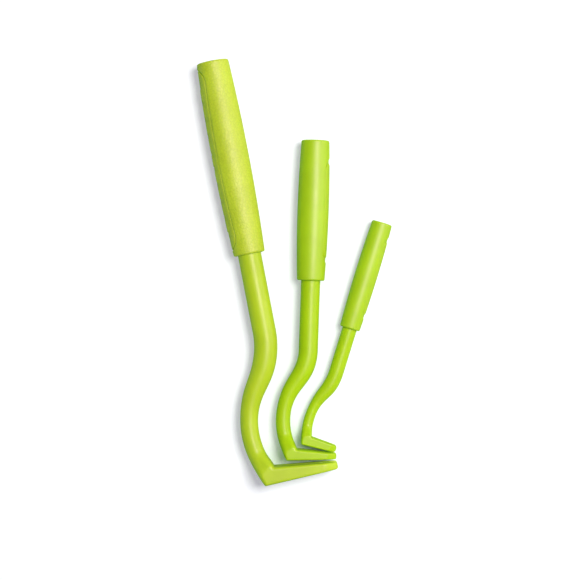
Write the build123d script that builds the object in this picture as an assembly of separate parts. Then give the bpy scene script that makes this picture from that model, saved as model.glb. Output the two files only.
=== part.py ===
from build123d import *

import os
from dataclasses import dataclass
from math import cos, pi, radians, sin

# A set of three tick removal hooks in graduated sizes, lying side by side on a table.
# Millimetres and degrees. +Z is up from the table, and every hook lies on its side.
#
# Each hook is built in a frame of its own and then laid in place:
#   origin  the centre of the grip's mouth, where the neck comes out
#   +Y      along the grip's axis, towards its butt
#   +X      the way the claw points
#   Z = 0   the hook's middle plane


@dataclass(frozen=True)
class Hook:
    name: str
    # Grip: a barrel, thickest at its belly
    grip_length: float
    mouth_radius: float
    belly_radius: float
    butt_radius: float
    belly_at: float  # from the mouth
    strip_side: int  # -1 has the side strip on the back, +1 on the claw's side
    strip_width: float
    strip_margin: float  # from the strip's pocket to each end of the grip
    strip_end_gap: float  # from each end of the strip to its pocket's end
    # Neck: straight, then back from the claw, then forward to the elbow
    neck_radius: float
    waist_radius: float
    first_corner: float  # from the mouth down to where the neck turns back
    back_angle: float
    back_run: float  # from the first corner to the second
    first_bend: float
    second_bend: float
    # Claw: a wedge across the grip's axis, from the heel and throat to the tip
    heel: tuple
    throat: tuple
    tip: tuple
    tip_thickness: float
    tip_taper: float  # how far from the tip the outer edges start to curve in
    slot_mouth: float
    # Where the hook lies: the mouth's centre, and the turn from +Y to the grip's axis
    lies_at: tuple
    lean: float


HOOKS = (
    Hook(
        name="large",
        grip_length=61.1,
        mouth_radius=4.9,
        belly_radius=5.7,
        butt_radius=5.0,
        belly_at=29.5,
        strip_side=-1,
        strip_width=7.6,
        strip_margin=1.8,
        strip_end_gap=0.4,
        neck_radius=3.65,
        waist_radius=2.8,
        first_corner=32.2,
        back_angle=33.0,
        back_run=24.8,
        first_bend=26.0,
        second_bend=25.5,
        heel=(-8.75, -71.85),
        throat=(-5.0, -66.3),
        tip=(14.6, -69.7),
        tip_thickness=2.3,
        tip_taper=5.0,
        slot_mouth=4.4,
        lies_at=(0.0, 0.0),
        lean=10.9,
    ),
    Hook(
        name="medium",
        grip_length=43.8,
        mouth_radius=4.3,
        belly_radius=4.9,
        butt_radius=4.35,
        belly_at=21.1,
        strip_side=1,
        strip_width=6.4,
        strip_margin=5.3,
        strip_end_gap=1.6,
        neck_radius=3.0,
        waist_radius=2.27,
        first_corner=26.3,
        back_angle=32.0,
        back_run=18.6,
        first_bend=15.5,
        second_bend=20.0,
        heel=(-5.7, -56.3),
        throat=(-2.5, -52.6),
        tip=(9.9, -54.5),
        tip_thickness=1.8,
        tip_taper=3.6,
        slot_mouth=3.2,
        lies_at=(19.27, -8.3),
        lean=-1.98,
    ),
    Hook(
        name="small",
        grip_length=34.7,
        mouth_radius=3.2,
        belly_radius=3.55,
        butt_radius=3.2,
        belly_at=20.8,
        strip_side=1,
        strip_width=4.6,
        strip_margin=3.8,
        strip_end_gap=1.5,
        neck_radius=2.3,
        waist_radius=1.6,
        first_corner=18.0,
        back_angle=25.7,
        back_run=11.7,
        first_bend=16.0,
        second_bend=20.0,
        heel=(-3.9, -39.0),
        throat=(-1.5, -35.8),
        tip=(7.0, -37.3),
        tip_thickness=2.2,
        tip_taper=2.6,
        slot_mouth=2.2,
        lies_at=(31.45, -23.15),
        lean=-17.1,
    ),
)

# Grip
RIM_ROUND = 0.5  # rounding of the mouth's lip and of the butt's edge
STRIP_DEPTH = 0.4
STRIP_SIDE_GAP = 0.3  # the groove along the strip's two sides

# Tang: the hidden end of the shank, inside the grip
NECK_SEAT = 2.5  # how far the full neck goes into the mouth
TANG_SHARE = 0.8  # of the grip's length
TANG_SLIMMER = 0.8  # tang's radius below the neck's
TANG_CHAMFER = 0.5
KEY_FLAT_SHARE = 0.8  # from the axis to the flat, as a share of the tang's radius
RING_DEPTH = 0.35
RING_WIDTH = 1.5
RING_PLACES = (0.45, 0.8)  # as shares of the tang's length

# Neck and claw
NECK_SECTIONS = 22
FLARE_LENGTH = 9.0  # for the large hook; the others follow their waist radius
FLARE_POWER = 2.2  # 1 would be a straight cone, and more widens later
THINNING_PACE = 1.4  # above 1, the neck is down to its waist before the flare starts
CLAW_SECTIONS = 12
TIP_WIDTH_SHARE = 0.58  # of the claw's full width
CLAW_SQUARENESS = 7.0  # 2 is an ellipse, and more is squarer
FLANK_CROWN = 0.1  # cut off each side of the claw, so that it lies on a flat
SECTION_POINTS = 32
SLOT_END_WIDTH_SHARE = 0.16  # of the slot's mouth
SLOT_START_SHARE = 0.16  # from the throat to the slot's end, as a share of the claw's reach
CUT_MARGIN = 1.0


def smooth_step(share):
    """From 0 to 1 with no slope at either end."""
    share = min(max(share, 0.0), 1.0)
    return share * share * (3 - 2 * share)


def barrel(hook, inset=0.0):
    """The grip's outer shape, or the same shape that much deeper."""
    mouth = (hook.mouth_radius - inset, 0)
    butt = (hook.butt_radius - inset, hook.grip_length)
    outer = ThreePointArc(mouth, (hook.belly_radius - inset, hook.belly_at), butt)
    inner = Polyline(butt, (0, hook.grip_length), (0, 0), mouth)
    solid = revolve(make_face([outer, inner]), Axis.Y)
    rims = solid.edges().filter_by(GeomType.CIRCLE).sort_by(Axis.Y)
    return fillet([rims[0], rims[-1]], RIM_ROUND)


def side_panel(hook, margin_along, width):
    """A round-ended prism that cuts a panel out of the grip on the strip's side."""
    length = hook.grip_length - 2 * margin_along
    outline = SlotOverall(length, width, rotation=90)
    plane = Plane(
        origin=(0, hook.grip_length / 2, 0),
        x_dir=(0, 0, -1),
        z_dir=(hook.strip_side, 0, 0),
    )
    return extrude(plane * outline, hook.belly_radius + CUT_MARGIN)


def tang(hook):
    """The shank's hidden end: a bar with a flat along it as a key, and two retention rings."""
    radius = hook.neck_radius - TANG_SLIMMER
    length = hook.grip_length * TANG_SHARE
    bar = revolve(
        make_face(
            Polyline(
                (0, 0),
                (radius, 0),
                (radius, length - TANG_CHAMFER),
                (radius - TANG_CHAMFER, length),
                (0, length),
                close=True,
            )
        ),
        Axis.Y,
    )
    for share in RING_PLACES:
        ring = Cylinder(radius + RING_DEPTH, RING_WIDTH, rotation=(90, 0, 0))
        bar += Pos(0, length * share, 0) * ring
    flat_at = radius * KEY_FLAT_SHARE
    beyond = 4 * radius
    key = Box(beyond, length, beyond, align=(Align.CENTER, Align.MIN, Align.MIN))
    return bar - Pos(0, NECK_SEAT, flat_at) * key


def superellipse(plane, half_side, half_depth, squareness):
    """A closed section in the plane: an ellipse at squareness 2, and squarer above."""
    points = []
    for i in range(SECTION_POINTS):
        turn = 2 * pi * i / SECTION_POINTS
        c = cos(turn)
        s = sin(turn)
        reach = (abs(c) ** squareness + abs(s) ** squareness) ** (-1 / squareness)
        points.append((half_side * reach * c, half_depth * reach * s))
    return plane * make_face(Spline(*points, periodic=True))


def neck_path(hook):
    """The neck's centreline, from its seat in the grip to the middle of the elbow."""
    first = Vector(0, -hook.first_corner)
    back = radians(hook.back_angle)
    second = first + Vector(-sin(back), -cos(back)) * hook.back_run
    elbow = (Vector(*hook.heel) + Vector(*hook.throat)) / 2
    return FilletPolyline(
        (0, NECK_SEAT),
        first,
        second,
        elbow,
        radius=[hook.first_bend, hook.second_bend],
    )


def elbow_plane(hook):
    """The plane through the heel and the throat, where the neck turns into the claw."""
    heel = Vector(*hook.heel)
    throat = Vector(*hook.throat)
    across = throat - heel
    return Plane(
        origin=(heel + throat) / 2,
        x_dir=across,
        z_dir=across.cross(Vector(0, 0, 1)),
    )


def neck(hook):
    """The neck from its seat to the elbow: round, then thinning, then flaring to the claw."""
    path = neck_path(hook)
    flare_share = FLARE_LENGTH * hook.waist_radius / HOOKS[0].waist_radius / path.length
    thinning = (NECK_SEAT + hook.first_corner) / path.length
    last = elbow_plane(hook)
    half_root = (Vector(*hook.throat) - Vector(*hook.heel)).length / 2
    sections = []
    for i in range(NECK_SECTIONS):
        share = i / NECK_SECTIONS
        flare = max(0.0, (share - 1 + flare_share) / flare_share) ** FLARE_POWER
        slim = smooth_step((share - thinning) / (1 - thinning - flare_share) * THINNING_PACE)
        radius = hook.neck_radius + (hook.waist_radius - hook.neck_radius) * slim
        turned = path % share
        normal = turned + (last.z_dir - turned) * flare
        place = Plane(
            origin=path @ share,
            x_dir=Vector(0, 0, 1).cross(normal),
            z_dir=normal,
        )
        sections.append(
            superellipse(
                place,
                radius + (half_root - radius) * flare,
                radius + (hook.belly_radius + FLANK_CROWN - radius) * flare,
                2 + (CLAW_SQUARENESS - 2) * flare,
            )
        )
    root = superellipse(
        last, half_root, hook.belly_radius + FLANK_CROWN, CLAW_SQUARENESS
    )
    return loft([*sections, root])


def claw(hook):
    """The wedge from the elbow to the tip, with a slot that parts it into two tines."""
    half_tip = Vector(0, hook.tip_thickness / 2)
    tip = Vector(*hook.tip)
    heel = Vector(*hook.heel)
    throat = Vector(*hook.throat)
    reach = tip.X - throat.X
    sections = []
    for i in range(CLAW_SECTIONS + 1):
        share = i / CLAW_SECTIONS
        low = heel + (tip - half_tip - heel) * share
        high = throat + (tip + half_tip - throat) * share
        across = high - low
        place = Plane(
            origin=(low + high) / 2, x_dir=across, z_dir=across.cross(Vector(0, 0, 1))
        )
        curve_in = max(0.0, 1 - (1 - share) * reach / hook.tip_taper) ** 2
        half_width = hook.belly_radius * (1 - (1 - TIP_WIDTH_SHARE) * curve_in) + FLANK_CROWN
        sections.append(superellipse(place, across.length / 2, half_width, CLAW_SQUARENESS))
    wedge = loft(sections)

    start = throat.X + SLOT_START_SHARE * reach
    end = tip.X + CUT_MARGIN
    half_mouth = hook.slot_mouth / 2
    half_start = half_mouth * SLOT_END_WIDTH_SHARE
    outline = make_face(
        Polyline(
            (start, half_start),
            (end, half_mouth),
            (end, -half_mouth),
            (start, -half_start),
            close=True,
        )
    )
    outline += Pos(start, 0) * Circle(half_start)
    plane = Plane(origin=(0, tip.Y, 0), x_dir=(1, 0, 0), z_dir=(0, 1, 0))
    return wedge - extrude(plane * outline, -2 * heel.Y, both=True)


def hook_pieces(hook):
    """The hook's solids by node name, in the hook's own frame."""
    inner_end = tang(hook)
    stem = neck(hook)
    beyond = 4 * hook.grip_length
    flanks = Box(beyond, beyond, 2 * hook.belly_radius)
    body = barrel(hook)
    skin = body - barrel(hook, STRIP_DEPTH)
    pocket = skin & side_panel(hook, hook.strip_margin, hook.strip_width + 2 * STRIP_SIDE_GAP)
    strip = skin & side_panel(hook, hook.strip_margin + hook.strip_end_gap, hook.strip_width)
    return {
        hook.name + "_grip": body - pocket - inner_end - stem,
        hook.name + "_shank": (inner_end + stem + claw(hook)) & flanks,
        hook.name + "_strip": strip,
    }


def laid_out():
    """Every solid of the set where it lies, with the origin under the middle of the whole."""
    pieces = {}
    for hook in HOOKS:
        x, y = hook.lies_at
        place = Location((x, y, hook.belly_radius), (0, 0, hook.lean))
        for node, solid in hook_pieces(hook).items():
            pieces[node] = place * solid
    middle = Compound(list(pieces.values())).bounding_box().center()
    shift = Pos(-middle.X, -middle.Y, 0)
    return {node: shift * solid for node, solid in pieces.items()}


os.makedirs("parts", exist_ok=True)
for node, solid in laid_out().items():
    export_step(solid, f"parts/{node}.step")
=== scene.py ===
from dataclasses import dataclass
from math import cos, hypot, pi, radians, sin, tan

import bmesh
import bpy
import numpy as np
from mathutils import Matrix, Vector, noise


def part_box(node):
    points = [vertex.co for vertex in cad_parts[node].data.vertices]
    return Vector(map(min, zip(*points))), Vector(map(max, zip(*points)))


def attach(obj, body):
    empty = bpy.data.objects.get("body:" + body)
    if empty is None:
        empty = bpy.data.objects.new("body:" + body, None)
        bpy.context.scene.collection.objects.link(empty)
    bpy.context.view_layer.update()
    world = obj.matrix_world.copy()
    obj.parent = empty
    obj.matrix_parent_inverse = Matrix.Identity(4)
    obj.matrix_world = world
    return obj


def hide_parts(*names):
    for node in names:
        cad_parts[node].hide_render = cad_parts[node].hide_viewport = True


# A set of three tick removal hooks: the looks of their grips, side strips and shanks.
# Shapes are worked out in millimetres, in each hook's own frame:
#   origin  the centre of the grip's mouth, where the neck comes out
#   +Y      along the grip's axis, towards its butt
#   +X      the way the claw points
#   Z = 0   the hook's middle plane
# Each hook is then laid where the frame has its shank, in metres.

MM = 0.001

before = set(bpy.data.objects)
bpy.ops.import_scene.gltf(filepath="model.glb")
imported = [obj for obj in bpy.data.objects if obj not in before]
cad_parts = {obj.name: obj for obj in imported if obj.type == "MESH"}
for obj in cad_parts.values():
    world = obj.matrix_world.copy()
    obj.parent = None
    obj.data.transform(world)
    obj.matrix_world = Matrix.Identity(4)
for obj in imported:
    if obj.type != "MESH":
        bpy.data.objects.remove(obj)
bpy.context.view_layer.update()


@dataclass(frozen=True)
class Hook:
    name: str
    # Grip
    grip_length: float
    mouth_radius: float
    belly_radius: float
    butt_radius: float
    belly_at: float  # from the mouth
    strip_side: int  # -1 has the side strip on the back, +1 on the claw's side
    strip_width: float
    strip_margin: float  # from the strip's pocket to each end of the grip
    strip_end_gap: float  # from each end of the strip to its pocket's end
    # Neck
    neck_radius: float
    waist_radius: float
    first_corner: float
    back_angle: float  # degrees off the grip's axis
    back_run: float
    first_bend: float
    second_bend: float
    # Claw
    heel: tuple
    throat: tuple
    tip: tuple
    tip_thickness: float
    tip_taper: float
    tip_round: float
    slot_mouth: float
    lean: float  # degrees that the laid hook is turned by
    # Looks
    grained: bool
    pocket_depth: float
    pocket_wall: float  # how far the pocket's wall leans
    strip_fade: float  # how far from its ends the strip starts to dip into the pocket
    skin_voxel: float


HOOKS = (
    Hook(
        name="large",
        grip_length=61.1,
        mouth_radius=4.9,
        belly_radius=5.7,
        butt_radius=5.0,
        belly_at=29.5,
        strip_side=-1,
        strip_width=7.6,
        strip_margin=1.8,
        strip_end_gap=0.4,
        neck_radius=3.65,
        waist_radius=2.8,
        first_corner=32.2,
        back_angle=33.0,
        back_run=24.8,
        first_bend=26.0,
        second_bend=25.5,
        heel=(-8.75, -71.85),
        throat=(-5.0, -66.3),
        tip=(14.6, -69.7),
        tip_thickness=2.3,
        tip_taper=5.0,
        tip_round=0.6,
        slot_mouth=4.4,
        lean=10.9,
        grained=True,
        pocket_depth=0.4,
        pocket_wall=0.12,
        strip_fade=0.0,
        skin_voxel=0.18,
    ),
    Hook(
        name="medium",
        grip_length=43.8,
        mouth_radius=4.3,
        belly_radius=4.9,
        butt_radius=4.35,
        belly_at=21.1,
        strip_side=1,
        strip_width=6.4,
        strip_margin=5.3,
        strip_end_gap=1.6,
        neck_radius=3.0,
        waist_radius=2.27,
        first_corner=26.3,
        back_angle=32.0,
        back_run=18.6,
        first_bend=15.5,
        second_bend=20.0,
        heel=(-5.7, -56.3),
        throat=(-2.5, -52.6),
        tip=(9.9, -54.5),
        tip_thickness=1.8,
        tip_taper=3.6,
        tip_round=0.5,
        slot_mouth=3.2,
        lean=-1.98,
        grained=False,
        pocket_depth=0.27,
        pocket_wall=0.9,
        strip_fade=0.9,
        skin_voxel=0.155,
    ),
    Hook(
        name="small",
        grip_length=34.7,
        mouth_radius=3.2,
        belly_radius=3.55,
        butt_radius=3.2,
        belly_at=20.8,
        strip_side=1,
        strip_width=4.6,
        strip_margin=3.8,
        strip_end_gap=1.5,
        neck_radius=2.3,
        waist_radius=1.6,
        first_corner=18.0,
        back_angle=25.7,
        back_run=11.7,
        first_bend=16.0,
        second_bend=20.0,
        heel=(-3.9, -39.0),
        throat=(-1.5, -35.8),
        tip=(7.0, -37.3),
        tip_thickness=2.2,
        tip_taper=2.6,
        tip_round=0.8,
        slot_mouth=2.2,
        lean=-17.1,
        grained=False,
        pocket_depth=0.24,
        pocket_wall=0.8,
        strip_fade=0.8,
        skin_voxel=0.105,
    ),
)

# Grip and strip
MESH_STEP = 0.16
RIM_ROUND = 0.5
RIM_POINTS = 7
STRIP_DEPTH = 0.4
STRIP_SIDE_GAP = 0.3
STRIP_EDGE_ROUND = 0.15
STRIP_EDGE_POINTS = 6
STRIP_BACK = STRIP_DEPTH * 0.97
STRIP_CORE_SHARE = 0.02  # of its half width, where its rings start and end
BORE_GAP = 0.07  # between the mouth's edge and the neck
BORE_CHAMFER = 0.22
BORE_DEPTH = 2.4
BORE_FLOOR_SHARE = 0.5
MOUTH_POINTS = 4
BORDER_HEIGHT = 0.06  # a faint raised border round the large grip's pocket
BORDER_WIDTH = 0.8
BORDER_EDGE = 0.3
RIB_HEIGHT = 0.16
RIB_PITCH = 5.2
RIB_LENGTH = 3.8  # along the strip
RIB_HALF_SPAN = 2.3  # across it
RIB_END_CLEARANCE = 5.0
RIB_END_EDGE = 0.3
RIB_SIDE_EDGE = 0.35
LEAST_LEVEL = 0.01  # squared
GRAIN_CELL = 0.95
GRAIN_DEPTH = 0.035
GRAIN_ROLL = 0.02
GRAIN_CRACK = 0.22  # of a cell
GRAIN_ROLL_SCALE = 0.4
GRAIN_START = 0.6  # outside the neck's radius
PLAIN_BUTT_ROWS = 3
PLAIN_MOUTH_ROWS = 6

# Shank
NECK_SEAT = 2.5
NECK_START = 2.0  # how far the modelled neck goes into the mouth
LAST_RUN = 14.0  # about what the neck has left after its second bend
ROW_STEP = 0.3
ROUTE_STEPS = 4000
FLARE_LENGTH = 9.0  # for the large hook; the others follow their waist radius
FLARE_POWER = 2.2
THINNING_PACE = 1.4
RISE_SHARE = 0.85  # of the flare, in which the flanks come up to the claw's
TIP_WIDTH_SHARE = 0.58
CLAW_SQUARENESS = 7.0
FLANK_CROWN = 0.1
SLOT_END_WIDTH_SHARE = 0.16
SLOT_START_SHARE = 0.16
SECTION_POINTS = 96
TIP_ROUND_STEPS = 8
SLOT_END_POINTS = 13
CUT_MARGIN = 1.0
CUT_OVERRUN = 3.0  # above and below the claw
EASE_FACTOR = 0.5
EASE_ROUNDS = 6


def smooth_step(share):
    """From 0 to 1 with no slope at either end. share is a number or an array."""
    share = np.clip(share, 0.0, 1.0)
    return share * share * (3 - 2 * share)


# ---------------------------------------------------------------- meshes


def shade_smooth(mesh):
    mesh.polygons.foreach_set("use_smooth", [True] * len(mesh.polygons))


def new_object(name, points, faces):
    """A smooth-shaded mesh object from points in millimetres."""
    mesh = bpy.data.meshes.new(name)
    mesh.from_pydata((np.asarray(points) * MM).tolist(), [], faces)
    mesh.validate()
    shape = bmesh.new()
    shape.from_mesh(mesh)
    bmesh.ops.recalc_face_normals(shape, faces=shape.faces)
    shape.to_mesh(mesh)
    shape.free()
    shade_smooth(mesh)
    piece = bpy.data.objects.new(name, mesh)
    bpy.context.scene.collection.objects.link(piece)
    return piece


def tube(rows):
    """Points and faces of a closed skin over rows of rings, with a fan at each end."""
    count, around = rows.shape[:2]
    points = rows.reshape(-1, 3)
    faces = []
    for near in range(0, (count - 1) * around, around):
        far = near + around
        for j in range(around):
            k = (j + 1) % around
            faces.append((near + j, near + k, far + k, far + j))
    first = len(points)
    points = np.vstack([points, rows[0].mean(axis=0), rows[-1].mean(axis=0)])
    last_ring = (count - 1) * around
    for j in range(around):
        k = (j + 1) % around
        faces.append((first, k, j))
        faces.append((first + 1, last_ring + j, last_ring + k))
    return points, faces


def finished_mesh(piece):
    """Applies the piece's modifiers."""
    graph = bpy.context.evaluated_depsgraph_get()
    mesh = bpy.data.meshes.new_from_object(piece.evaluated_get(graph))
    mesh.name = piece.name
    piece.modifiers.clear()
    piece.data = mesh
    shade_smooth(mesh)


# ---------------------------------------------------------------- grip


def barrel_radius(hook, y):
    """The grip's radius at y: an arc through the mouth's, the belly's and the butt's radius."""
    x1, y1 = hook.mouth_radius, 0.0
    x2, y2 = hook.belly_radius, hook.belly_at
    x3, y3 = hook.butt_radius, hook.grip_length
    twice_area = 2 * (x1 * (y2 - y3) + x2 * (y3 - y1) + x3 * (y1 - y2))
    s1, s2, s3 = x1**2 + y1**2, x2**2 + y2**2, x3**2 + y3**2
    centre_x = (s1 * (y2 - y3) + s2 * (y3 - y1) + s3 * (y1 - y2)) / twice_area
    centre_y = (s1 * (x3 - x2) + s2 * (x1 - x3) + s3 * (x2 - x1)) / twice_area
    arc = hypot(x1 - centre_x, y1 - centre_y)
    return centre_x + np.sqrt(arc**2 - (y - centre_y) ** 2)


def grip_profile(hook):
    """Radius and height from the middle of the butt, down the outside, and into the bore."""
    rim = hook.butt_radius - RIM_ROUND
    edge = hook.grip_length - RIM_ROUND
    quarter = np.linspace(0, pi / 2, RIM_POINTS)
    profile = [(r, hook.grip_length) for r in np.arange(MESH_STEP, rim, MESH_STEP * 2)]
    profile += [(rim + RIM_ROUND * sin(a), edge + RIM_ROUND * cos(a)) for a in quarter]
    steps = int((edge - RIM_ROUND) / MESH_STEP)
    heights = np.linspace(edge, RIM_ROUND, steps)[1:-1]
    profile += list(zip(barrel_radius(hook, heights), heights))
    lip = float(barrel_radius(hook, RIM_ROUND)) - RIM_ROUND
    profile += [(lip + RIM_ROUND * cos(a), RIM_ROUND - RIM_ROUND * sin(a)) for a in quarter]
    bore = hook.neck_radius + BORE_GAP
    profile += [(r, 0.0) for r in np.linspace(lip, bore + BORE_CHAMFER, MOUTH_POINTS)[1:]]
    profile += [(bore, BORE_CHAMFER), (bore, BORE_DEPTH), (bore * BORE_FLOOR_SHARE, BORE_DEPTH)]
    return np.array(profile, float)


def stadium_distance(along, across, half_length, half_width):
    """How far outside a round-ended slot a point is, and negative inside it."""
    past = np.maximum(np.abs(along) - (half_length - half_width), 0.0)
    return np.sqrt(past**2 + across**2) - half_width


def grain(points, cell, depth, roll):
    """How far a leathery, finely crackled skin stands in or out at each point."""
    heights = np.zeros(len(points))
    for i, p in enumerate(points):
        at = Vector(p) / cell
        distances = noise.voronoi(at)[0]
        crack = distances[1] - distances[0]
        heights[i] = -depth * max(0.0, 1 - crack / GRAIN_CRACK)
        heights[i] += roll * noise.noise(at * GRAIN_ROLL_SCALE)
    return heights


def make_grip(hook):
    """The barrel, with a pocket for the strip in its side."""
    profile = grip_profile(hook)
    around = int(2 * pi * hook.belly_radius / MESH_STEP)
    turn = np.linspace(0, 2 * pi, around, endpoint=False)
    radius = np.repeat(profile[:, :1], around, axis=1)
    height = np.repeat(profile[:, 1:], around, axis=1)
    x = radius * np.cos(turn)
    z = radius * np.sin(turn)

    half = hook.grip_length / 2
    outside = stadium_distance(
        height - half, z, half - hook.strip_margin, hook.strip_width / 2 + STRIP_SIDE_GAP
    )
    on_side = np.sign(x) == hook.strip_side
    depth = hook.pocket_depth * smooth_step(-outside / hook.pocket_wall) * on_side
    if hook.grained:
        border = smooth_step(outside / hook.pocket_wall)
        border *= smooth_step((BORDER_WIDTH - outside) / BORDER_EDGE)
        depth -= BORDER_HEIGHT * border * on_side
    shrunk = 1 - depth / radius
    rows = np.stack([x * shrunk, height, z * shrunk], axis=2)
    if hook.grained:
        row = np.arange(len(profile))
        outer = (radius[:, 0] > hook.neck_radius + GRAIN_START) & (row > PLAIN_BUTT_ROWS)
        outer &= row < len(profile) - PLAIN_MOUTH_ROWS
        points = rows[outer].reshape(-1, 3)
        out = np.stack([np.cos(turn), np.zeros(around), np.sin(turn)], axis=1)
        lift = grain(points, GRAIN_CELL, GRAIN_DEPTH, GRAIN_ROLL).reshape(-1, around, 1)
        rows[outer] += lift * out
    return new_object(hook.name + "_grip_skin", *tube(rows))


def make_strip(hook):
    """The panel in the grip's pocket: rings from its middle line out, over its edge and under."""
    half_length = hook.grip_length / 2 - hook.strip_margin - hook.strip_end_gap
    half_width = hook.strip_width / 2
    run = half_length - half_width
    straight = int(2 * run / MESH_STEP)
    bend = int(pi * half_width / MESH_STEP)
    middle = []
    outward = []
    for side in (1, -1):
        for i in range(straight):
            middle.append(side * (-run + 2 * run * i / straight))
            outward.append((0.0, side))
        for i in range(bend):
            a = pi * i / bend
            middle.append(side * run)
            outward.append((side * sin(a), side * cos(a)))
    middle = np.array(middle)
    outward = np.array(outward)

    rings = []
    edge = 1 - STRIP_EDGE_ROUND / half_width
    for share in np.linspace(STRIP_CORE_SHARE, edge, int(half_width / MESH_STEP)):
        rings.append((share * half_width, 0.0))
    for a in np.linspace(0, pi / 2, STRIP_EDGE_POINTS)[1:]:
        out = half_width - STRIP_EDGE_ROUND + STRIP_EDGE_ROUND * sin(a)
        rings.append((out, STRIP_EDGE_ROUND * (1 - cos(a))))
    for share in (1.0, 0.5, STRIP_CORE_SHARE):
        rings.append((half_width * share, STRIP_BACK))

    rows = []
    for out, inset in rings:
        along = middle + out * outward[:, 0]
        across = out * outward[:, 1]
        surface = barrel_radius(hook, along + hook.grip_length / 2) - inset
        if hook.strip_fade and inset < STRIP_DEPTH / 2:
            to_end = half_length - np.abs(along)
            surface = surface - hook.pocket_depth * (1 - smooth_step(to_end / hook.strip_fade))
        if hook.grained and inset < STRIP_DEPTH / 2:
            place = (along / RIB_PITCH + 0.5) % 1 - 0.5
            rib = smooth_step((RIB_LENGTH / 2 - np.abs(place) * RIB_PITCH) / RIB_END_EDGE)
            rib *= smooth_step((RIB_HALF_SPAN - np.abs(across)) / RIB_SIDE_EDGE)
            rib *= np.abs(along) < half_length - RIB_END_CLEARANCE
            surface = surface + RIB_HEIGHT * rib
            points = np.stack([surface, along, across], axis=1)
            surface = surface + grain(points, GRAIN_CELL, GRAIN_DEPTH, GRAIN_ROLL)
        level = np.sqrt(np.maximum(surface**2 - across**2, LEAST_LEVEL))
        rows.append(
            np.stack([hook.strip_side * level, along + hook.grip_length / 2, across], axis=1)
        )
    return new_object(hook.name + "_strip_skin", *tube(np.array(rows)))


# ---------------------------------------------------------------- shank


def neck_route(hook, rows):
    """Centres and directions down the neck: straight runs joined by tangent arcs."""
    first = Vector((0, -hook.first_corner))
    back = radians(hook.back_angle)
    second = first + Vector((-sin(back), -cos(back))) * hook.back_run
    elbow = (Vector(hook.heel) + Vector(hook.throat)) / 2
    corners = [Vector((0, NECK_SEAT)), first, second, elbow]
    runs = [b - a for a, b in zip(corners, corners[1:])]
    headings = [np.arctan2(run.y, run.x) for run in runs]
    bends = [hook.first_bend, hook.second_bend]
    turns = [abs(b - a) for a, b in zip(headings, headings[1:])]
    cuts = [0, *[r * tan(t / 2) for r, t in zip(bends, turns)], 0]
    marks = [0.0]
    for i, run in enumerate(runs):
        marks.append(marks[-1] + run.length - cuts[i] - cuts[i + 1])
        if i < len(bends):
            marks.append(marks[-1] + bends[i] * turns[i])
    total = marks[-1]
    fine = np.linspace(0, total, ROUTE_STEPS + 1)
    heading = np.interp(fine, marks, np.repeat(headings, 2))
    steps = np.stack([np.cos(heading), np.sin(heading)], axis=1)
    walked = np.cumsum((steps[1:] + steps[:-1]) / 2 * total / ROUTE_STEPS, axis=0)
    centres = np.vstack([[0, 0], walked]) + np.array(corners[0])
    distance = np.linspace(NECK_SEAT - NECK_START, total, rows)
    place = np.stack([np.interp(distance, fine, centres[:, k]) for k in (0, 1)], axis=1)
    turned = np.interp(distance, fine, heading)
    return distance / total, total, place, np.stack([np.cos(turned), np.sin(turned)], axis=1)


def section(centre, across, half_side, half_depth, squareness, limit):
    """A ring round the centre: an ellipse at squareness 2 and squarer above, with flat flanks."""
    turn = np.linspace(0, 2 * pi, SECTION_POINTS, endpoint=False)
    c, s = np.cos(turn), np.sin(turn)
    reach = (np.abs(c) ** squareness + np.abs(s) ** squareness) ** (-1 / squareness)
    side = half_side * reach * c
    depth = np.clip(half_depth * reach * s, -limit, limit)
    return np.stack([centre[0] + across[0] * side, centre[1] + across[1] * side, depth], axis=1)


def neck_rows(hook):
    """Rings from the grip's mouth to the elbow, where they meet the claw's root."""
    rows = int((hook.first_corner + hook.back_run + LAST_RUN) / ROW_STEP)
    shares, length, places, directions = neck_route(hook, rows)
    flare_share = FLARE_LENGTH * hook.waist_radius / HOOKS[0].waist_radius / length
    thinning = (NECK_SEAT + hook.first_corner) / length
    root = np.array(hook.throat) - np.array(hook.heel)
    half_root = np.linalg.norm(root) / 2
    root = root / (2 * half_root)
    last = np.array([root[1], -root[0]])
    rings = []
    for share, place, direction in zip(shares, places, directions):
        flare = max(0.0, (share - 1 + flare_share) / flare_share) ** FLARE_POWER
        rise = float(smooth_step((share - 1 + flare_share) / (RISE_SHARE * flare_share)))
        slim = float(smooth_step((share - thinning) / (1 - thinning - flare_share) * THINNING_PACE))
        radius = hook.neck_radius + (hook.waist_radius - hook.neck_radius) * slim
        normal = direction + (last - direction) * flare
        normal = normal / np.linalg.norm(normal)
        across = np.array([-normal[1], normal[0]])
        rings.append(
            section(
                place,
                across,
                radius + (half_root - radius) * flare,
                radius + (hook.belly_radius + FLANK_CROWN - radius) * rise,
                2 + (CLAW_SQUARENESS - 2) * flare,
                hook.belly_radius,
            )
        )
    return rings


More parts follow.
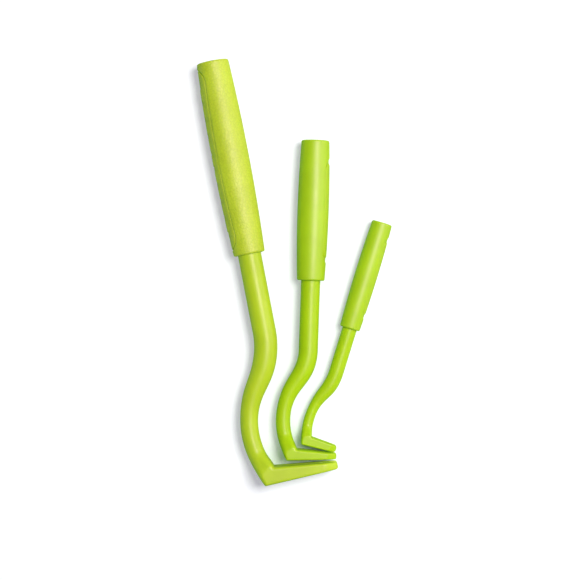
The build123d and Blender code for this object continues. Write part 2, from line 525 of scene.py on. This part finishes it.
def claw_rows(hook):
    """Rings from the claw's root to its rounded tip, narrowing towards it."""
    half_tip = np.array([0, hook.tip_thickness / 2])
    tip, heel, throat = (np.array(p) for p in (hook.tip, hook.heel, hook.throat))
    reach = tip[0] - throat[0]
    end = 1 - hook.tip_round / reach
    shares = list(np.linspace(0, end, int(reach / ROW_STEP))[1:])
    insets = [0.0] * len(shares)
    for a in np.linspace(0, pi / 2, TIP_ROUND_STEPS)[1:]:
        shares.append(end + (1 - end) * sin(a))
        insets.append(hook.tip_round * (1 - cos(a)))
    rings = []
    for share, inset in zip(shares, insets):
        low = heel + (tip - half_tip - heel) * share
        high = throat + (tip + half_tip - throat) * share
        across = high - low
        length = np.linalg.norm(across)
        curve_in = max(0.0, 1 - (1 - share) * reach / hook.tip_taper) ** 2
        half_width = hook.belly_radius * (1 - (1 - TIP_WIDTH_SHARE) * curve_in) + FLANK_CROWN
        rings.append(
            section(
                (low + high) / 2,
                across / length,
                length / 2 - inset,
                half_width - inset,
                CLAW_SQUARENESS,
                hook.belly_radius,
            )
        )
    return rings


def slot_cutter(hook):
    """A prism through the claw, along Y: a V that opens at the tip, with a round end."""
    reach = hook.tip[0] - hook.throat[0]
    start = hook.throat[0] + SLOT_START_SHARE * reach
    end = hook.tip[0] + CUT_MARGIN
    half_mouth = hook.slot_mouth / 2
    half_start = half_mouth * SLOT_END_WIDTH_SHARE
    outline = [(end, half_mouth)]
    for a in np.linspace(pi / 2, 3 * pi / 2, SLOT_END_POINTS):
        outline.append((start + half_start * cos(a), half_start * sin(a)))
    outline.append((end, -half_mouth))
    rows = []
    for y in (hook.heel[1] - CUT_OVERRUN, hook.throat[1] + CUT_OVERRUN):
        rows.append([(x, y, z) for x, z in outline])
    return new_object(hook.name + "_slot", *tube(np.array(rows, float)))


def make_shank(hook):
    """Neck, bends, elbow and claw in one skin, with the slot cut and its edges eased."""
    rows = np.array(neck_rows(hook) + claw_rows(hook))
    piece = new_object(hook.name + "_shank_skin", *tube(rows))
    cutter = slot_cutter(hook)
    cut = piece.modifiers.new("slot", "BOOLEAN")
    cut.object = cutter
    cut.operation = "DIFFERENCE"
    cut.solver = "EXACT"
    skin = piece.modifiers.new("skin", "REMESH")
    skin.mode = "VOXEL"
    skin.voxel_size = hook.skin_voxel * MM
    skin.use_smooth_shade = True
    ease = piece.modifiers.new("ease", "SMOOTH")
    ease.factor = EASE_FACTOR
    ease.iterations = EASE_ROUNDS
    finished_mesh(piece)
    bpy.data.objects.remove(cutter)
    return piece


# ---------------------------------------------------------------- materials


@dataclass(frozen=True)
class Finish:
    colour: tuple
    roughness: float
    specular: float
    grain_scale: float  # waves per metre
    grain_strength: float
    streaks: float = 0.0  # strength of the flow lines
    cells: float = 0.0  # crackle cells per metre


LIME = (0.50, 0.74, 0.02)
DEEP_LIME = (0.44, 0.71, 0.02)
GRASS = (0.38, 0.70, 0.003)
GRAINED = Finish(LIME, 0.5, 0.85, grain_scale=3200, grain_strength=0.35, cells=1050)
SATIN = Finish(GRASS, 0.46, 0.75, grain_scale=4200, grain_strength=0.18)
SMOOTH = Finish(DEEP_LIME, 0.4, 0.45, grain_scale=2600, grain_strength=0.1, streaks=0.3)
SMOOTH_GRASS = Finish(GRASS, 0.4, 0.45, grain_scale=2600, grain_strength=0.1, streaks=0.3)

# Lime moulded plastic. Scales are in waves per metre, and depths in metres.
GLOW_WEIGHT = 0.25  # light that travels under the surface
GLOW_RADIUS = (1.0, 1.2, 0.15)
GLOW_DEPTH = 0.0012
CLOUD_SCALE = 90
CLOUD_ENDS = ((0.3, 0.93), (0.7, 1.05))  # place on the ramp, and share of the colour
FINE_DEPTH = 0.00006
CRACK_WARP_SCALE = 1.3  # of the cells
CRACK_WARP = 0.0004
CRACK_WIDTH = 0.14
# painted shade: how dark the crackle's cracks are coloured
CRACK_PAINTED_SHADE = (0.86, 0.9, 0.8, 1)
CRACK_STRENGTH = 0.5
CRACK_DEPTH = 0.00005
FLOW_SCALE = 900
FLOW_STRETCH = (0.05, 1, 1)
FLOW_DEPTH = 0.00008
RUB_SCALE = 260
RUB_SMOOTHER = 0.06
RUB_ROUGHER = 0.08


def plastic(name, finish):
    material = bpy.data.materials.new(name)
    material.use_nodes = True
    nodes, links = material.node_tree.nodes, material.node_tree.links
    shader = nodes["Principled BSDF"]
    shader.inputs["Subsurface Weight"].default_value = GLOW_WEIGHT
    shader.inputs["Subsurface Radius"].default_value = GLOW_RADIUS
    shader.inputs["Subsurface Scale"].default_value = GLOW_DEPTH
    shader.inputs["Specular IOR Level"].default_value = finish.specular
    place = nodes.new("ShaderNodeTexCoord")

    def noise_node(scale, detail, stretch=(1, 1, 1)):
        spread = nodes.new("ShaderNodeMapping")
        spread.inputs["Scale"].default_value = stretch
        links.new(place.outputs["Object"], spread.inputs["Vector"])
        texture = nodes.new("ShaderNodeTexNoise")
        texture.inputs["Scale"].default_value = scale
        texture.inputs["Detail"].default_value = detail
        links.new(spread.outputs["Vector"], texture.inputs["Vector"])
        return texture

    def bump_over(normal, height, strength, depth):
        """The normal after a relief is laid over it. A normal of None is the bare surface."""
        bump = nodes.new("ShaderNodeBump")
        bump.inputs["Strength"].default_value = strength
        bump.inputs["Distance"].default_value = depth
        links.new(height, bump.inputs["Height"])
        if normal is not None:
            links.new(normal, bump.inputs["Normal"])
        return bump.outputs["Normal"]

    # Colour: slow clouding, and painted shade that darkens the crackle's cracks
    cloud = noise_node(CLOUD_SCALE, detail=3)
    ramp = nodes.new("ShaderNodeValToRGB")
    for element, (position, share) in zip(ramp.color_ramp.elements, CLOUD_ENDS):
        element.position = position
        element.color = (*[min(1, c * share) for c in finish.colour], 1)
    links.new(cloud.outputs["Fac"], ramp.inputs["Fac"])
    colour_out = ramp.outputs["Color"]

    # Relief: fine grain, with crackle cells or flow lines where the finish has them
    fine = noise_node(finish.grain_scale, detail=4)
    normal_out = bump_over(None, fine.outputs["Fac"], finish.grain_strength, FINE_DEPTH)
    if finish.cells:
        crackle = nodes.new("ShaderNodeTexVoronoi")
        crackle.feature = "DISTANCE_TO_EDGE"
        crackle.inputs["Scale"].default_value = finish.cells
        warp = noise_node(finish.cells * CRACK_WARP_SCALE, detail=2)
        mix = nodes.new("ShaderNodeMixRGB")
        mix.blend_type = "LINEAR_LIGHT"
        mix.inputs["Fac"].default_value = CRACK_WARP
        links.new(place.outputs["Object"], mix.inputs["Color1"])
        links.new(warp.outputs["Color"], mix.inputs["Color2"])
        links.new(mix.outputs["Color"], crackle.inputs["Vector"])
        edge = nodes.new("ShaderNodeMapRange")
        edge.inputs["From Max"].default_value = CRACK_WIDTH
        links.new(crackle.outputs["Distance"], edge.inputs["Value"])
        # Painted shade: the colour is darkened along the crack lines, the grooves of the relief
        # below
        shade = nodes.new("ShaderNodeMixRGB")
        shade.blend_type = "MULTIPLY"
        shade.inputs["Color2"].default_value = CRACK_PAINTED_SHADE
        flip = nodes.new("ShaderNodeMath")
        flip.operation = "SUBTRACT"
        flip.inputs[0].default_value = 1
        links.new(edge.outputs["Result"], flip.inputs[1])
        links.new(flip.outputs["Value"], shade.inputs["Fac"])
        links.new(colour_out, shade.inputs["Color1"])
        colour_out = shade.outputs["Color"]
        normal_out = bump_over(normal_out, edge.outputs["Result"], CRACK_STRENGTH, CRACK_DEPTH)
    if finish.streaks:
        flow = noise_node(FLOW_SCALE, detail=3, stretch=FLOW_STRETCH)
        normal_out = bump_over(normal_out, flow.outputs["Fac"], finish.streaks, FLOW_DEPTH)

    # Gloss: rubbed smoother in patches
    rubbed = noise_node(RUB_SCALE, detail=4)
    gloss = nodes.new("ShaderNodeMapRange")
    gloss.inputs["To Min"].default_value = finish.roughness - RUB_SMOOTHER
    gloss.inputs["To Max"].default_value = finish.roughness + RUB_ROUGHER
    links.new(rubbed.outputs["Fac"], gloss.inputs["Value"])
    links.new(gloss.outputs["Result"], shader.inputs["Roughness"])
    links.new(colour_out, shader.inputs["Base Color"])
    links.new(normal_out, shader.inputs["Normal"])
    return material


FINISHES = {
    "grained_grip": plastic("grained_grip", GRAINED),
    "grained_strip": plastic("grained_strip", GRAINED),
    "satin_grip": plastic("satin_grip", SATIN),
    "satin_strip": plastic("satin_strip", SATIN),
    "smooth_shank": plastic("smooth_shank", SMOOTH),
    "grass_shank": plastic("grass_shank", SMOOTH_GRASS),
}


# ---------------------------------------------------------------- laying out


def lay_down(hook, pieces):
    """Turns the hook's pieces and puts them where the frame has its shank.

    The CAD shank's tang leans out past the neck on one side, so x is matched on the other.
    """
    turned = Matrix.Rotation(radians(hook.lean), 4, "Z")
    for piece in pieces.values():
        piece.data.transform(turned)
    shank = pieces["shank"].data
    points = np.empty(len(shank.vertices) * 3)
    shank.vertices.foreach_get("co", points)
    lowest = points.reshape(-1, 3).min(axis=0)
    highest = points.reshape(-1, 3).max(axis=0)
    cad_low, cad_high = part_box(hook.name + "_shank")
    across = cad_high.x - highest[0] if hook.lean > 0 else cad_low.x - lowest[0]
    shift = Vector((across, cad_low.y - lowest[1], hook.belly_radius * MM))
    for piece in pieces.values():
        piece.data.transform(Matrix.Translation(shift))


for hook in HOOKS:
    pieces = {"grip": make_grip(hook), "strip": make_strip(hook), "shank": make_shank(hook)}
    lay_down(hook, pieces)
    texture = "grained" if hook.grained else "satin"
    slots = {"grip": texture + "_grip", "strip": texture + "_strip", "shank": "smooth_shank"}
    for part, piece in pieces.items():
        finish = slots[part]
        if part == "shank" and not hook.grained:
            finish = "grass_shank"
        piece.data.materials.append(FINISHES[finish])
        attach(piece, hook.name + "_hook")
        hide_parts(hook.name + "_" + part)


# ---------------------------------------------------------------- studio


LIGHT_DISTANCE = 1.0
KEY_FROM, KEY_SIZE, KEY_POWER, KEY_COLOUR = (0.29, 0.15, 0.93), 0.34, 10.8, (1.0, 0.68, 0.82)
SIDE_FROM, SIDE_SIZE, SIDE_POWER, SIDE_COLOUR = (0.9, 0.25, 0.42), 0.6, 2.9, (1.0, 0.74, 1.0)
WORLD_COLOUR = (0.6, 1, 0.42, 1)
WORLD_STRENGTH = 0.23
FLOOR_HALF = 1.5
FLOOR_COLOUR = (0.6, 0.9, 0.72, 1)
# Painted light on the floor: its glow lifts the shadows on it, and fades where the hooks close it
# in, painted shade between them
FLOOR_PAINTED_LIGHT_COLOUR = (0.84, 0.53, 1, 1)
FLOOR_PAINTED_LIGHT_ENDS = (("Min", 0.1, 0.02), ("Max", 0.42, 0.45))  # openness, and strength there
OPENNESS_REACH = 0.02
OPENNESS_SAMPLES = 16
FLOOR_ROUGHNESS = 0.9
FLOOR_SPECULAR = 0.1
CAMERA_SENSOR = 36
CAMERA_LENS = 129.1
CAMERA_AT = (-0.0013, -0.0056, 0.655)


def area_light(name, direction, size, power, colour):
    """A square soft light that looks at the set's middle from that direction."""
    light = bpy.data.lights.new(name, "AREA")
    light.size = size
    light.energy = power
    light.color = colour
    lamp = bpy.data.objects.new(name, light)
    at = Vector(direction).normalized() * LIGHT_DISTANCE
    lamp.location = at
    lamp.rotation_mode = "QUATERNION"
    lamp.rotation_quaternion = at.to_track_quat("Z", "Y")
    bpy.context.scene.collection.objects.link(lamp)


area_light("key", KEY_FROM, KEY_SIZE, KEY_POWER, KEY_COLOUR)
area_light("side", SIDE_FROM, SIDE_SIZE, SIDE_POWER, SIDE_COLOUR)

world = bpy.data.worlds.new("studio")
world.use_nodes = True
background = world.node_tree.nodes["Background"]
background.inputs["Color"].default_value = WORLD_COLOUR
background.inputs["Strength"].default_value = WORLD_STRENGTH
bpy.context.scene.world = world

# White paper: it glows a little, painted light that lifts the shadows on it, and glows less where
# the hooks close it in, painted shade in the gaps between the hooks
floor_mesh = bpy.data.meshes.new("floor")
floor_mesh.from_pydata(
    [(x * FLOOR_HALF, y * FLOOR_HALF, 0) for x, y in ((-1, -1), (1, -1), (1, 1), (-1, 1))],
    [],
    [(0, 1, 2, 3)],
)
floor = bpy.data.objects.new("floor", floor_mesh)
bpy.context.scene.collection.objects.link(floor)
floor.visible_glossy = False
paper = bpy.data.materials.new("floor")
paper.use_nodes = True
paper_nodes, paper_links = paper.node_tree.nodes, paper.node_tree.links
paper_shader = paper_nodes["Principled BSDF"]
paper_shader.inputs["Base Color"].default_value = FLOOR_COLOUR
paper_shader.inputs["Roughness"].default_value = FLOOR_ROUGHNESS
paper_shader.inputs["Specular IOR Level"].default_value = FLOOR_SPECULAR
paper_shader.inputs["Emission Color"].default_value = FLOOR_PAINTED_LIGHT_COLOUR
painted_floor_light = paper_nodes.new("ShaderNodeMapRange")
for end, openness_there, strength in FLOOR_PAINTED_LIGHT_ENDS:
    painted_floor_light.inputs["From " + end].default_value = openness_there
    painted_floor_light.inputs["To " + end].default_value = strength
openness = paper_nodes.new("ShaderNodeAmbientOcclusion")
openness.inputs["Distance"].default_value = OPENNESS_REACH
openness.samples = OPENNESS_SAMPLES
paper_links.new(openness.outputs["AO"], painted_floor_light.inputs["Value"])
paper_links.new(painted_floor_light.outputs["Result"], paper_shader.inputs["Emission Strength"])
floor_mesh.materials.append(paper)

bpy.context.scene.view_settings.view_transform = "Standard"

camera = bpy.data.cameras.new("camera")
camera.sensor_width = CAMERA_SENSOR
camera.lens = CAMERA_LENS
viewer = bpy.data.objects.new("camera", camera)
viewer.location = CAMERA_AT
bpy.context.scene.collection.objects.link(viewer)
bpy.context.scene.camera = viewer

bpy.context.view_layer.update()
